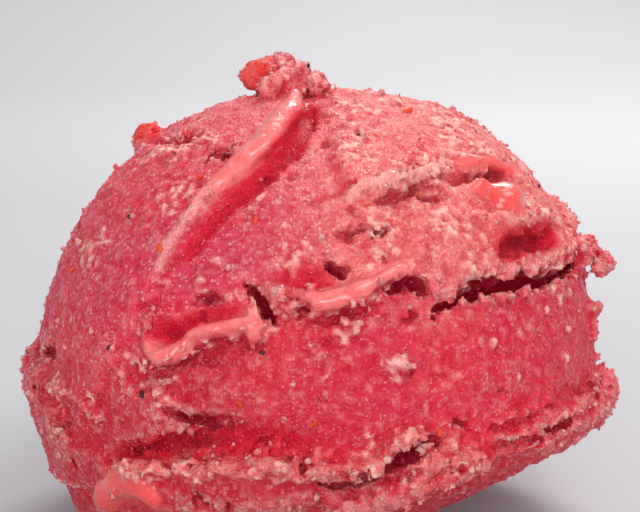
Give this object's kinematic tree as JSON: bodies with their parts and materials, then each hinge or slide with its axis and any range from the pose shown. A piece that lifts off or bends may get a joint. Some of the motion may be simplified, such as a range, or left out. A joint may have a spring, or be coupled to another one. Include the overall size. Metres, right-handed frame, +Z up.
{
  "type": "scoop of ice cream",
  "caption": "Dipped scoop of pink berry ice cream: a craggy ball with rolled lips, a long crack and a small knob, on a ragged collar and a slanting foot.",
  "frame": {"origin": "on the flat foot, straight below the ball's centre", "axes": "+Z up, -Y towards the side with the two hanging flaps and the long crack, +X to the right seen from that side"},
  "size_m": [0.0646, 0.0622, 0.0505],
  "materials": {
    "ice_cream": "frosty, grainy and slightly translucent, with wet melting lips"
  },
  "bodies": {
    "root": {"scoop": "ice_cream"}
  },
  "joints": []
}
